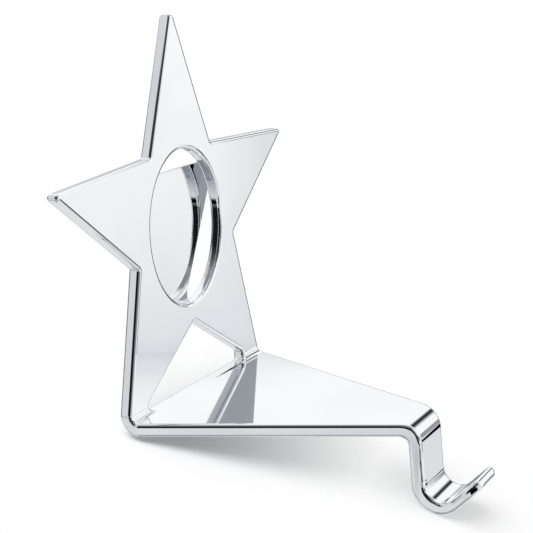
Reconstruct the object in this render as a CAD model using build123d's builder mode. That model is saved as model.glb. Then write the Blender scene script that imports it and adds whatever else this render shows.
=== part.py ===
"""Mantel stocking holder: a star, a base and a hook bent from one plate, with a photo clip at the back.

Millimetres. +Z is up and the hook points towards -Y. The origin lies on the seat, the flat underside
of the base, on the centre line and midway between the star's front face and the drop's front face.
"""

import os
from math import cos, radians, sin, tan

from build123d import *

# The plate that the star, the base and the hook are bent from
plate_thickness = 5.2
edge_round = 1.4

# The upright star, its radii measured from its own centre
star_centre_height = 71.4
star_radius = 82.6
star_notch_radius = 35.3
star_points = 5
tip_extra_round = 0.1
notch_round = 1.0

# The oval window in the star, above the web that joins the legs
window_half_width = 24.2
window_half_height = 30.4
window_web = 7.6

# The two legs, the gap between them and the bend below them
leg_notch_radius = 39.6
foot_half_width = 46.8
leg_foot_width = 11.0
leg_round = 4.0
leg_gap_corner_round = 2.2
leg_gap_step = 0.2
foot_bend_radius = 2.6

# The base, which narrows from the legs to the strip of the hook
base_reach = 99.4
strip_half_width = 9.8
strip_start_setback = 1.7
strip_corner_round = 8.0
front_bend_radius = 3.4
front_bend_outer_radius = 7.6

# The drop and the thinner hook at the front, with angles in degrees
drop_thickness = 5.0
drop_length = 22.9
drop_lean = 2.3
hook_inner_radius = 6.3
hook_rise_angle = 45.0
hook_rise_length = 11.8
hook_thickness = 3.8
hook_corner_round = 7.0

# The sheet clip that holds a photo behind the window
clip_thickness = 1.0
clip_photo_gap = 2.2
clip_bend_radius = 1.0
clip_foot_margin = 1.6
clip_foot_height = 2.8
clip_foot_half_width = 7.0
clip_ramp_height = 1.9
clip_top_below_window_top = 8.8
clip_top_half_width = 34.0
clip_corner_round = 3.0
clip_edge_round = 0.25

# Faces that turn by less than this, in degrees, run on smoothly
smooth_angle = 5

# Heights and depths that follow from the sizes above
base_top = plate_thickness
star_front = base_reach / 2
star_back = star_front + plate_thickness
drop_front = -base_reach / 2
star_top = star_centre_height + star_radius
tip_round = edge_round + tip_extra_round
foot_bend_top = base_top + foot_bend_radius
foot_bend_front = star_front - foot_bend_radius
leg_gap_top = star_centre_height - leg_notch_radius
leg_gap_floor = base_top + leg_gap_step
window_centre_height = leg_gap_top + window_web + window_half_height
cut_length = 2 * (base_reach + star_radius)

# The front and back skins of the drop and the hook in side view, in Y and Z
drop_down = Vector(-sin(radians(drop_lean)), -cos(radians(drop_lean)))
hook_up = Vector(-cos(radians(hook_rise_angle)), sin(radians(hook_rise_angle)))
hook_turn = 90 + hook_rise_angle - drop_lean
hook_tangent = hook_inner_radius * tan(radians(hook_turn / 2))
front_corner = Vector(drop_front, base_top)
hook_start = front_corner + drop_down * drop_length
hook_centre = hook_start + Vector(drop_down.Y, -drop_down.X) * hook_inner_radius
hook_corner = hook_start + drop_down * hook_tangent
hook_end = hook_corner + hook_up * (hook_tangent + hook_rise_length)
drop_through = Vector(-drop_down.Y, drop_down.X) * drop_thickness
hook_under = Vector(-hook_up.Y, hook_up.X)
hook_end_back = hook_end + hook_under * hook_thickness
hook_bottom = hook_centre.Y - hook_inner_radius - drop_thickness
hook_front = hook_end_back.X


def crossing(first, first_way, second, second_way):
    """The point where a line from first along first_way meets a line from second along second_way."""
    apart = second - first
    turn = first_way.X * second_way.Y - first_way.Y * second_way.X
    return first + first_way * ((apart.X * second_way.Y - apart.Y * second_way.X) / turn)


def star_corner(step, radius):
    """A corner of the star in front view, counted clockwise from the top in half points."""
    turn = radians(180 * step / star_points)
    return radius * sin(turn), star_centre_height + radius * cos(turn)


def mirrored(corners):
    """The corners of the right-hand side, then those of the left-hand side on the way back."""
    return [*corners, *[(-x, along) for x, along in reversed(corners)]]


def there_and_back(rounds):
    """The roundings of the right-hand side, then the same for the mirrored corners."""
    return [*rounds, *reversed(rounds)]


def sharp_edges(part):
    """The edges where two faces meet at a corner, leaving out those where they run on smoothly."""
    neighbours = {}
    for face in part.faces():
        for edge in face.edges():
            neighbours.setdefault(edge, []).append(face)

    def is_sharp(edge):
        if len(neighbours[edge]) != 2:
            return False
        middle = edge.position_at(0.5)
        first, second = [face.normal_at(middle) for face in neighbours[edge]]
        return first.get_angle(second) > smooth_angle

    return part.edges().filter_by(is_sharp)


# The body: star, legs, base, drop and hook in one piece
with BuildPart() as holder_body:
    # Side view: the front skin from the star's top to the hook's end, then the back skin on the way back
    drop_back = front_corner + drop_through
    front_skin = [(star_front, star_top), (star_front, base_top), front_corner, hook_corner, hook_end]
    front_rounds = [0, foot_bend_radius, front_bend_outer_radius, hook_inner_radius, 0]
    back_skin = [
        hook_end_back,
        crossing(drop_back, drop_down, hook_end_back, hook_up),
        crossing(drop_back, drop_down, Vector(0, 0), Vector(1, 0)),
        (star_back, 0),
        (star_back, star_top),
    ]
    back_rounds = [
        0,
        hook_inner_radius + hook_thickness,
        front_bend_radius,
        foot_bend_radius + plate_thickness,
        0,
    ]
    with BuildSketch(Plane.YZ):
        with BuildLine():
            FilletPolyline(*front_skin, *back_skin, radius=[*front_rounds, *back_rounds], close=True)
        make_face()
    extrude(amount=star_radius + foot_half_width, both=True)

    # Front view: the star, whose two lower points become the legs that run down into the base
    star_side = [
        star_corner(1, star_notch_radius),
        star_corner(2, star_radius),
        star_corner(3, star_notch_radius),
        (foot_half_width, foot_bend_top),
        (foot_half_width, hook_bottom),
    ]
    star_rounds = [notch_round, tip_round, notch_round, leg_round, 0]
    with BuildSketch(Plane.XZ):
        with BuildLine():
            FilletPolyline(
                (0, star_top),
                *mirrored(star_side),
                radius=[tip_round, *there_and_back(star_rounds)],
                close=True,
            )
        make_face()
    extrude(amount=cut_length, both=True, mode=Mode.INTERSECT)

    # Top view: the base narrows to the strip of the drop, and the hook's end has rounded corners
    base_side = [
        (star_radius + foot_half_width, star_back),
        (star_radius + foot_half_width, foot_bend_front),
        (foot_half_width, foot_bend_front),
        (strip_half_width, drop_front + strip_start_setback),
        (strip_half_width, hook_front),
    ]
    base_rounds = [0, 0, 0, strip_corner_round, hook_corner_round]
    with BuildSketch(Plane.XY):
        with BuildLine():
            FilletPolyline(*mirrored(base_side), radius=there_and_back(base_rounds), close=True)
        make_face()
    extrude(amount=cut_length, both=True, mode=Mode.INTERSECT)

    # The window, and the gap between the legs with its floor just above the top of the base
    leg_gap_slope = (foot_half_width - leg_foot_width) / (leg_gap_top - foot_bend_top)
    leg_gap_half_width = leg_gap_slope * (leg_gap_top - leg_gap_floor)
    with BuildSketch(Plane.XZ):
        with Locations((0, window_centre_height)):
            Ellipse(window_half_width, window_half_height)
        with BuildLine():
            FilletPolyline(
                (0, leg_gap_top),
                (leg_gap_half_width, leg_gap_floor),
                (-leg_gap_half_width, leg_gap_floor),
                radius=[notch_round, leg_gap_corner_round, leg_gap_corner_round],
                close=True,
            )
        make_face()
    extrude(amount=cut_length, both=True, mode=Mode.SUBTRACT)

    # Every edge is ground round before the body is plated
    fillet(sharp_edges(holder_body.part), edge_round)

# The clip: a sheet that widens upwards, its foot joggled forwards on to the back of the star
clip_foot_bottom = leg_gap_top + clip_foot_margin
clip_foot_top = clip_foot_bottom + clip_foot_height
clip_ramp_top = clip_foot_top + clip_ramp_height
clip_top = window_centre_height + window_half_height - clip_top_below_window_top
clip_front = star_back + clip_photo_gap

with BuildPart() as photo_clip:
    # Side view: the foot lies on the star, and the ramp leads up to the flat that backs the photo
    with BuildSketch(Plane.YZ):
        with BuildLine():
            FilletPolyline(
                (star_back, clip_foot_bottom),
                (star_back, clip_foot_top),
                (clip_front, clip_ramp_top),
                (clip_front, clip_top),
                radius=[clip_bend_radius, clip_bend_radius + clip_thickness],
            )
            offset(amount=clip_thickness, side=Side.RIGHT)
        make_face()
    extrude(amount=clip_top_half_width + clip_foot_half_width, both=True)

    # Front view: the sides spread from the foot to the rounded upper corners
    clip_side = [
        (clip_top_half_width, clip_top),
        (clip_foot_half_width, clip_ramp_top + clip_corner_round),
        (clip_foot_half_width, clip_foot_bottom),
    ]
    clip_rounds = [clip_corner_round, clip_corner_round, clip_bend_radius]
    with BuildSketch(Plane.XZ):
        with BuildLine():
            FilletPolyline(*mirrored(clip_side), radius=there_and_back(clip_rounds), close=True)
        make_face()
    extrude(amount=cut_length, both=True, mode=Mode.INTERSECT)
    fillet(sharp_edges(photo_clip.part), clip_edge_round)

holder_body.part.label = "holder_body"
photo_clip.part.label = "photo_clip"

os.makedirs("parts", exist_ok=True)
export_step(holder_body.part, "parts/holder_body.step")
export_step(photo_clip.part, "parts/photo_clip.step")
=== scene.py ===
"""Chrome finish and studio for the star stocking holder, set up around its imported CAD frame.

Metres, and angles written in degrees. +Z is up, the hook points towards -Y, and directions round
the holder are a bearing (0 towards the hook, 90 towards +X) and a height above the horizon.
"""

from math import cos, pi, radians, sin

import bpy
from bpy.props import FloatProperty, FloatVectorProperty, PointerProperty
from mathutils import Matrix, Vector

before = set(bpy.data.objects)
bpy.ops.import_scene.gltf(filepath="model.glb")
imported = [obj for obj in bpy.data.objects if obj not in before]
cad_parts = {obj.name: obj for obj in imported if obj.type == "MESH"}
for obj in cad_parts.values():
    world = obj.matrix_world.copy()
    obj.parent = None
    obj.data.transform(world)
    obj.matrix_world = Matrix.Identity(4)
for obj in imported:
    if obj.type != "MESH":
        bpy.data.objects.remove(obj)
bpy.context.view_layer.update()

bl_info = {
    "name": "Star Stocking Holder",
    "version": (1, 0, 0),
    "blender": (4, 5, 0),
    "location": "View3D > Sidebar > Holder",
    "description": "Chrome plate for a star stocking holder, and a studio to look at it in",
    "category": "Object",
}

HALF_TURN = 180.0
DEGREES_PER_RADIAN = HALF_TURN / pi
WHITE = (1.0, 1.0, 1.0, 1.0)
BLACK = (0.0, 0.0, 0.0, 1.0)

# Patterns in the chrome: scales in cells per metre, the noise at which haze starts and is full,
# and the hairlines' share of the haze and of the ripples
HAZE_SCALE = 26.0
HAZE_DETAIL = 3.0
HAZE_START = 0.42
HAZE_FULL = 0.68
PEEL_SCALE = 90.0
PEEL_DETAIL = 1.0
HAIRLINE_DETAIL = 2.0
HAIRLINE_HAZE = 0.4
HAIRLINE_DEPTH = 0.15
BODY_HAIRLINES = (500.0, 500.0, 40.0)
CLIP_HAIRLINES = (60.0, 800.0, 800.0)

# The camera's film in millimetres, and the nearest that it sees in metres
FILM_WIDTH = 36.0
NEAREST_SIGHT = 0.01

# The room that the chrome mirrors: its light near the floor, and the steps that brighten it
# upwards, each with the light it adds and the heights where it starts and ends
ROOM_LIGHT = 0.8
ROOM_STEPS = (
    (0.14, -19.3, -9.9),
    (0.06, -10.0, -4.0),
)

# Panels in that room, painted over each other in this order: name, bearing and height of the
# middle, half width, half height, soft rim (all in degrees), brightness
STUDIO_PANELS = (
    ("left wall", -141.3, 21.7, 47.2, 45.0, 13.0, 0.72),
    ("left lamp", -107.5, 36.0, 9.5, 3.0, 1.5, 1.0),
    ("gap under the left lamp", -104.5, 14.5, 9.5, 17.5, 3.0, 0.01),
    ("camera side, high", -60.5, 32.5, 38.5, 15.5, 8.0, 0.04),
    ("camera side", -71.9, 1.9, 28.4, 23.2, 8.8, 0.008),
    ("front shade", -21.5, 2.1, 24.4, 8.0, 23.4, 0.116),
    ("front right shade", 41.0, -20.0, 7.0, 13.5, 3.5, 0.05),
    ("right rear, low", 117.8, 7.4, 43.0, 10.1, 3.0, 0.62),
    ("gap beside the right lamp", 79.0, 26.0, 7.5, 12.5, 10.0, 0.04),
    ("right front shade", 64.0, -13.0, 5.5, 12.0, 4.0, 0.78),
    ("right front horizon", 61.2, -1.3, 3.8, 6.2, 1.2, 0.356),
    ("right front slot", 63.8, -12.8, 3.6, 3.9, 0.8, 0.0),
    ("right front, soft", 52.5, 15.5, 4.0, 2.2, 4.0, 0.66),
    ("right front, grey", 57.4, 20.0, 2.0, 4.0, 1.6, 0.37),
    ("right side, low", 92.5, -11.5, 26.0, 13.5, 2.0, 0.0),
    ("floor line at the left", -92.0, -20.4, 28.0, 1.5, 2.4, 0.78),
    ("behind", 174.5, -3.9, 34.9, 18.5, 3.0, 0.144),
    ("overhead", -43.4, 58.4, 75.0, 17.6, 30.0, 0.29),
    ("floor at the left", -81.0, -61.0, 75.0, 25.2, 30.0, 0.4),
    ("floor behind", 148.1, -20.8, 33.8, 15.6, 4.5, 0.365),
    ("gap high at the right", 43.0, 56.5, 5.5, 5.5, 4.0, 0.08),
    ("floor at the right", 53.4, -23.0, 3.8, 4.2, 5.0, 0.25),
    ("floor at the camera", -42.5, -23.2, 21.5, 3.2, 4.0, 0.0),
    ("far left, low", -123.6, -14.4, 15.6, 3.3, 2.0, 0.447),
    ("rear lamp", 147.0, 18.2, 14.3, 13.7, 11.6, 1.0),
    ("floor under the base", 177.5, -57.5, 9.0, 5.0, 2.0, 0.47),
    ("shadow under the base", -165.0, -70.5, 25.0, 8.5, 2.0, 0.0),
    ("floor further behind", 170.4, -33.9, 15.3, 11.8, 4.0, 0.38),
)


class Wire:
    """A value in a node tree, so that shader maths reads as plain expressions."""

    def __init__(self, tree, socket):
        self.tree = tree
        self.socket = socket

    def __add__(self, other):
        return maths("ADD", self, other)

    def __radd__(self, other):
        return maths("ADD", other, self)

    def __sub__(self, other):
        return maths("SUBTRACT", self, other)

    def __rsub__(self, other):
        return maths("SUBTRACT", other, self)

    def __mul__(self, other):
        return maths("MULTIPLY", self, other)

    def __rmul__(self, other):
        return maths("MULTIPLY", other, self)

    def __abs__(self):
        return maths("ABSOLUTE", self)


def add_node(tree, kind, settings, *values, **named):
    """Adds a node, sets it up, feeds its sockets by order or name, and gives its outputs by name."""
    node = tree.nodes.new(kind)
    for name, setting in settings.items():
        setattr(node, name, setting)
    sockets = [*zip([socket for socket in node.inputs if socket.enabled], values)]
    sockets += [(node.inputs[name.replace("_", " ")], value) for name, value in named.items()]
    for socket, value in sockets:
        if isinstance(value, Wire):
            tree.links.new(value.socket, socket)
        else:
            socket.default_value = value
    return {socket.name: Wire(tree, socket) for socket in node.outputs if socket.enabled}


def maths(operation, *values):
    """A Math node on numbers and wires, of which one at least is a wire."""
    tree = next(value.tree for value in values if isinstance(value, Wire))
    return add_node(tree, "ShaderNodeMath", {"operation": operation}, *values)["Value"]


def smooth_step(wire, low, high, label=""):
    """0 where the value is at low, 1 where it is at high, with soft ends."""
    settings = {"interpolation_type": "SMOOTHSTEP", "label": label}
    return add_node(wire.tree, "ShaderNodeMapRange", settings, wire, low, high, 0.0, 1.0)["Result"]


def distance(place, spot):
    """How far a place is from a spot."""
    settings = {"operation": "DISTANCE"}
    return add_node(place.tree, "ShaderNodeVectorMath", settings, place, spot)["Value"]


def noise(place, scale, detail):
    """A cloudy pattern of values between 0 and 1."""
    sockets = {"Vector": place, "Scale": scale, "Detail": detail}
    return add_node(place.tree, "ShaderNodeTexNoise", {}, **sockets)["Fac"]


def mixed_colour(factor, first, second):
    """The first colour where the factor is 0, the second where it is 1."""
    settings = {"data_type": "RGBA"}
    return add_node(factor.tree, "ShaderNodeMix", settings, factor, first, second)["Result"]


def mixed_shader(factor, first, second):
    """The first shader where the factor is 0, the second where it is 1."""
    return add_node(factor.tree, "ShaderNodeMixShader", {}, factor, first, second)["Shader"]


def clear_tree(owner):
    """An empty node tree on a material or the world."""
    owner.use_nodes = True
    owner.node_tree.nodes.clear()
    return owner.node_tree


class HolderChrome(bpy.types.PropertyGroup):
    """Finish of the chrome plate."""

    plate_colour: FloatVectorProperty(
        name="Plate colour",
        description="Colour of the polished chrome",
        subtype="COLOR", size=4, min=0.0, max=1.0, default=(0.945, 0.95, 0.962, 1.0),
    )
    sheet_colour: FloatVectorProperty(
        name="Sheet colour",
        description="Colour of the clip's polished sheet",
        subtype="COLOR", size=4, min=0.0, max=1.0, default=(0.93, 0.937, 0.95, 1.0),
    )
    haze_tint: FloatVectorProperty(
        name="Haze tint",
        description="Tint of both colours where the chrome is a little hazy",
        subtype="COLOR", size=4, min=0.0, max=1.0, default=(0.968, 0.974, 0.982, 1.0),
    )
    polish: FloatProperty(
        name="Polish",
        description="Roughness of the best polished spots",
        subtype="FACTOR", min=0.0, max=1.0, default=0.025,
    )
    haze: FloatProperty(
        name="Haze",
        description="Roughness added in the hazy spots",
        subtype="FACTOR", min=0.0, max=1.0, default=0.03,
    )
    ripple: FloatProperty(
        name="Ripple",
        description="Depth of the ripples left by polishing",
        subtype="DISTANCE", unit="LENGTH", min=0.0, default=0.0000015, precision=7,
    )


class HolderStudio(bpy.types.PropertyGroup):
    """Floor, light and camera."""

    floor_colour: FloatVectorProperty(
        name="Floor colour",
        description="Colour of the pale floor",
        subtype="COLOR", size=4, min=0.0, max=1.0, default=(0.95, 0.95, 0.955, 1.0),
    )
    floor_size: FloatProperty(
        name="Floor size",
        description="Length of the square floor's side",
        subtype="DISTANCE", unit="LENGTH", min=1.0, default=8.0,
    )
    floor_tilt: FloatProperty(
        name="Floor tilt",
        description="Slope of the floor, on which the holder rests with its heel and its hook",
        unit="ROTATION", default=radians(14.8),
    )
    heel_place: FloatVectorProperty(
        name="Heel place",
        description="Where on the floor the left heel stands and its shadow is full",
        subtype="XYZ", unit="LENGTH", size=3, default=(-0.034, 0.044, 0.0),
    )
    hook_place: FloatVectorProperty(
        name="Hook place",
        description="Where on the floor the hook stands",
        subtype="XYZ", unit="LENGTH", size=3, default=(0.0, -0.06, 0.0),
    )
    hook_fade: FloatProperty(
        name="Hook fade",
        description="Part of the shadow's reach that is used up where the hook stands",
        subtype="DISTANCE", unit="LENGTH", min=0.0, default=0.05,
    )
    shadow_reach: FloatProperty(
        name="Shadow reach",
        description="Distance at which floor and shadow have faded into white",
        subtype="DISTANCE", unit="LENGTH", min=0.01, default=0.115,
    )
    light_tint: FloatVectorProperty(
        name="Light tint",
        description="Tint of the bright panels",
        subtype="COLOR", size=4, min=0.0, max=1.0, default=(0.996, 0.995, 1.0, 1.0),
    )
    shade_tint: FloatVectorProperty(
        name="Shade tint",
        description="Tint of the dark panels",
        subtype="COLOR", size=4, min=0.0, max=1.0, default=(0.8, 0.91, 1.0, 1.0),
    )
    fill_light: FloatProperty(
        name="Fill light",
        description="Even light from all round on the floor",
        min=0.0, default=0.34,
    )
    lamp_power: FloatProperty(
        name="Lamp power",
        description="Power of the soft lamp",
        unit="POWER", min=0.0, default=72.0,
    )
    lamp_size: FloatProperty(
        name="Lamp size",
        description="Width of the round lamp",
        subtype="DISTANCE", unit="LENGTH", min=0.0, default=3.0,
    )
    lamp_distance: FloatProperty(
        name="Lamp distance",
        description="From the holder to the lamp",
        subtype="DISTANCE", unit="LENGTH", min=0.1, default=2.5,
    )
    lamp_bearing: FloatProperty(
        name="Lamp bearing",
        description="Bearing from the holder to the lamp",
        unit="ROTATION", default=radians(-120.0),
    )
    lamp_height: FloatProperty(
        name="Lamp height",
        description="Angle of the lamp above the horizon",
        unit="ROTATION", default=radians(70.0),
    )
    camera_place: FloatVectorProperty(
        name="Camera place",
        description="Where the camera stands",
        subtype="XYZ", unit="LENGTH", size=3, default=(-0.41176, -0.22977, 0.17448),
    )
    camera_bearing: FloatProperty(
        name="Camera bearing",
        description="Bearing that the camera looks from",
        unit="ROTATION", default=radians(-59.24),
    )
    camera_height: FloatProperty(
        name="Camera height",
        description="Angle that the camera looks down by",
        unit="ROTATION", default=radians(13.85),
    )
    camera_roll: FloatProperty(
        name="Camera roll",
        description="Turn of the camera about its line of sight",
        unit="ROTATION", default=radians(-3.498),
    )
    camera_lens: FloatProperty(
        name="Lens",
        description="Focal length of the camera in millimetres",
        subtype="DISTANCE_CAMERA", min=1.0, default=88.318,
    )


def chrome_plate(name, finish, bright, hairlines):
    """Mirror-polished chrome with faint haze, ripples and hairlines from polishing."""
    material = bpy.data.materials.new(name)
    tree = clear_tree(material)
    place = add_node(tree, "ShaderNodeTexCoord", {})["Object"]
    haze = smooth_step(noise(place, HAZE_SCALE, HAZE_DETAIL), HAZE_START, HAZE_FULL)
    stretched = add_node(tree, "ShaderNodeMapping", {}, place, Scale=hairlines)["Vector"]
    hairline = noise(stretched, 1.0, HAIRLINE_DETAIL)
    peel = noise(place, PEEL_SCALE, PEEL_DETAIL)
    dull = [part * tint for part, tint in zip(bright, finish.haze_tint)]
    colour = mixed_colour(haze, bright, dull)
    roughness = finish.polish + finish.haze * haze + HAIRLINE_HAZE * finish.haze * hairline
    ripples = peel + HAIRLINE_DEPTH * hairline
    normal = add_node(
        tree, "ShaderNodeBump", {}, Strength=1.0, Distance=finish.ripple, Height=ripples,
    )["Normal"]
    shader = add_node(
        tree, "ShaderNodeBsdfPrincipled", {},
        Base_Color=colour, Metallic=1.0, Roughness=roughness, Normal=normal,
    )["BSDF"]
    add_node(tree, "ShaderNodeOutputMaterial", {}, shader)
    return material


def put_on(node_name, material):
    """Gives a CAD node its finish."""
    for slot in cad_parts[node_name].material_slots:
        slot.material = material


class HOLDER_OT_plate_body(bpy.types.Operator):
    """Chrome-plate the star, the base and the hook"""

    bl_idname = "holder.plate_body"
    bl_label = "Plate the Body"

    def execute(self, context):
        finish = context.scene.holder_chrome
        chrome = chrome_plate("Body chrome", finish, finish.plate_colour, BODY_HAIRLINES)
        put_on("holder_body", chrome)
        return {"FINISHED"}


class HOLDER_OT_polish_clip(bpy.types.Operator):
    """Polish the sheet clip behind the window"""

    bl_idname = "holder.polish_clip"
    bl_label = "Polish the Clip"

    def execute(self, context):
        finish = context.scene.holder_chrome
        chrome = chrome_plate("Clip chrome", finish, finish.sheet_colour, CLIP_HAIRLINES)
        put_on("photo_clip", chrome)
        return {"FINISHED"}


def pale_paper(studio):
    """The floor's finish, which the camera sees fade into white away from the heel and the hook."""
    material = bpy.data.materials.new("Pale floor")
    tree = clear_tree(material)
    place = add_node(tree, "ShaderNodeTexCoord", {})["Object"]
    heel = distance(place, studio.heel_place)
    hook = distance(place, studio.hook_place)
    away = maths("MINIMUM", heel, hook + studio.hook_fade)
    fade = smooth_step(away, 0.0, studio.shadow_reach)
    paper = add_node(tree, "ShaderNodeBsdfDiffuse", {}, studio.floor_colour)["BSDF"]
    clear = add_node(tree, "ShaderNodeBsdfTransparent", {}, WHITE)["BSDF"]
    to_camera = add_node(tree, "ShaderNodeLightPath", {})["Is Camera Ray"]
    add_node(tree, "ShaderNodeOutputMaterial", {}, mixed_shader(fade * to_camera, paper, clear))
    return material


def studio_floor(studio):
    """A pale floor that touches the heel and the hook, which the chrome doesn't mirror."""
    tilt = studio.floor_tilt
    square = Vector((0.0, -sin(tilt), cos(tilt)))
    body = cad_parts["holder_body"]
    level = min(square.dot(body.matrix_world @ corner.co) for corner in body.data.vertices)
    bpy.ops.mesh.primitive_plane_add(
        size=studio.floor_size, location=square * level, rotation=(tilt, 0.0, 0.0),
    )
    floor = bpy.context.object
    floor.name = "studio_floor"
    floor.visible_glossy = False
    floor.data.materials.append(pale_paper(studio))


def mirrored_room(tree):
    """The brightness of the room in each direction, with its bright panels and dark gaps."""
    way = add_node(tree, "ShaderNodeTexCoord", {})["Generated"]
    x, y, z = add_node(tree, "ShaderNodeSeparateXYZ", {}, way).values()
    bearing = maths("ARCTAN2", x, 0.0 - y) * DEGREES_PER_RADIAN
    height = maths("ARCSINE", z) * DEGREES_PER_RADIAN
    light = ROOM_LIGHT
    for gain, start, end in ROOM_STEPS:
        light = light + gain * smooth_step(height, start, end)
    for name, middle, level, half_width, half_height, rim, brightness in STUDIO_PANELS:
        # Degrees outside the panel's edge, the bearing taken the short way round
        across = HALF_TURN - half_width - abs(abs(bearing - middle) - HALF_TURN)
        along = abs(height - level) - half_height
        outside = maths("MAXIMUM", across, along)
        panel = smooth_step(outside, rim / 2, -rim / 2, name)
        light = light + panel * (brightness - light)
    return light


def studio_world(studio):
    """White to the camera, even light to the floor, and the room with its panels to the chrome."""
    world = bpy.data.worlds.new("Studio")
    bpy.context.scene.world = world
    tree = clear_tree(world)
    light = mirrored_room(tree)
    tint = mixed_colour(light, studio.shade_tint, studio.light_tint)
    colour = mixed_colour(light, BLACK, tint)
    room = add_node(tree, "ShaderNodeBackground", {}, colour, 1.0)["Background"]
    fill = add_node(tree, "ShaderNodeBackground", {}, WHITE, studio.fill_light)["Background"]
    white = add_node(tree, "ShaderNodeBackground", {}, WHITE, 1.0)["Background"]
    path = add_node(tree, "ShaderNodeLightPath", {})
    around = mixed_shader(path["Is Glossy Ray"], fill, room)
    shown = mixed_shader(path["Is Camera Ray"], around, white)
    add_node(tree, "ShaderNodeOutputWorld", {}, shown)


def direction(bearing, height):
    """A unit vector from the holder towards a bearing and a height above the horizon."""
    return Vector((sin(bearing) * cos(height), -cos(bearing) * cos(height), sin(height)))


def studio_lamp(studio):
    """One wide soft lamp, which the chrome doesn't mirror."""
    towards = direction(studio.lamp_bearing, studio.lamp_height)
    bpy.ops.object.light_add(type="AREA", location=towards * studio.lamp_distance)
    lamp = bpy.context.object
    lamp.name = "soft_lamp"
    lamp.data.shape = "DISK"
    lamp.data.size = studio.lamp_size
    lamp.data.energy = studio.lamp_power
    lamp.visible_glossy = False
    lamp.rotation_euler = (-towards).to_track_quat("-Z", "Y").to_euler()


def studio_camera(studio):
    """The camera at the photograph's viewing angle."""
    bpy.ops.object.camera_add(location=studio.camera_place)
    camera = bpy.context.object
    bearing, roll = studio.camera_bearing, studio.camera_roll
    forward = -direction(bearing, studio.camera_height)
    level = Vector((cos(bearing), sin(bearing), 0.0))
    upright = level.cross(forward)
    right = level * cos(roll) + upright * sin(roll)
    up = upright * cos(roll) - level * sin(roll)
    turn = Matrix((right, up, -forward)).transposed()
    camera.rotation_euler = turn.to_euler()
    camera.data.sensor_width = FILM_WIDTH
    camera.data.lens = studio.camera_lens
    camera.data.clip_start = NEAREST_SIGHT
    bpy.context.scene.camera = camera


class HOLDER_OT_set_stage(bpy.types.Operator):
    """Lay the floor and set up the light and the camera"""

    bl_idname = "holder.set_stage"
    bl_label = "Set the Stage"

    def execute(self, context):
        studio = context.scene.holder_studio
        bpy.ops.object.select_all(action="DESELECT")
        studio_floor(studio)
        studio_world(studio)
        studio_lamp(studio)
        studio_camera(studio)
        context.scene.view_settings.view_transform = "Standard"
        return {"FINISHED"}


class HOLDER_PT_sidebar(bpy.types.Panel):
    """Lists the steps of the finish"""

    bl_idname = "HOLDER_PT_sidebar"
    bl_label = "Stocking Holder"
    bl_space_type = "VIEW_3D"
    bl_region_type = "UI"
    bl_category = "Holder"

    def draw(self, context):
        for operator in (HOLDER_OT_plate_body, HOLDER_OT_polish_clip, HOLDER_OT_set_stage):
            self.layout.operator(operator.bl_idname)


CLASSES = (
    HolderChrome,
    HolderStudio,
    HOLDER_OT_plate_body,
    HOLDER_OT_polish_clip,
    HOLDER_OT_set_stage,
    HOLDER_PT_sidebar,
)


def register():
    for kind in CLASSES:
        bpy.utils.register_class(kind)
    bpy.types.Scene.holder_chrome = PointerProperty(type=HolderChrome)
    bpy.types.Scene.holder_studio = PointerProperty(type=HolderStudio)


def unregister():
    del bpy.types.Scene.holder_studio
    del bpy.types.Scene.holder_chrome
    for kind in reversed(CLASSES):
        bpy.utils.unregister_class(kind)


def main():
    register()
    bpy.ops.holder.plate_body()
    bpy.ops.holder.polish_clip()
    bpy.ops.holder.set_stage()


if __name__ == "__main__":
    main()
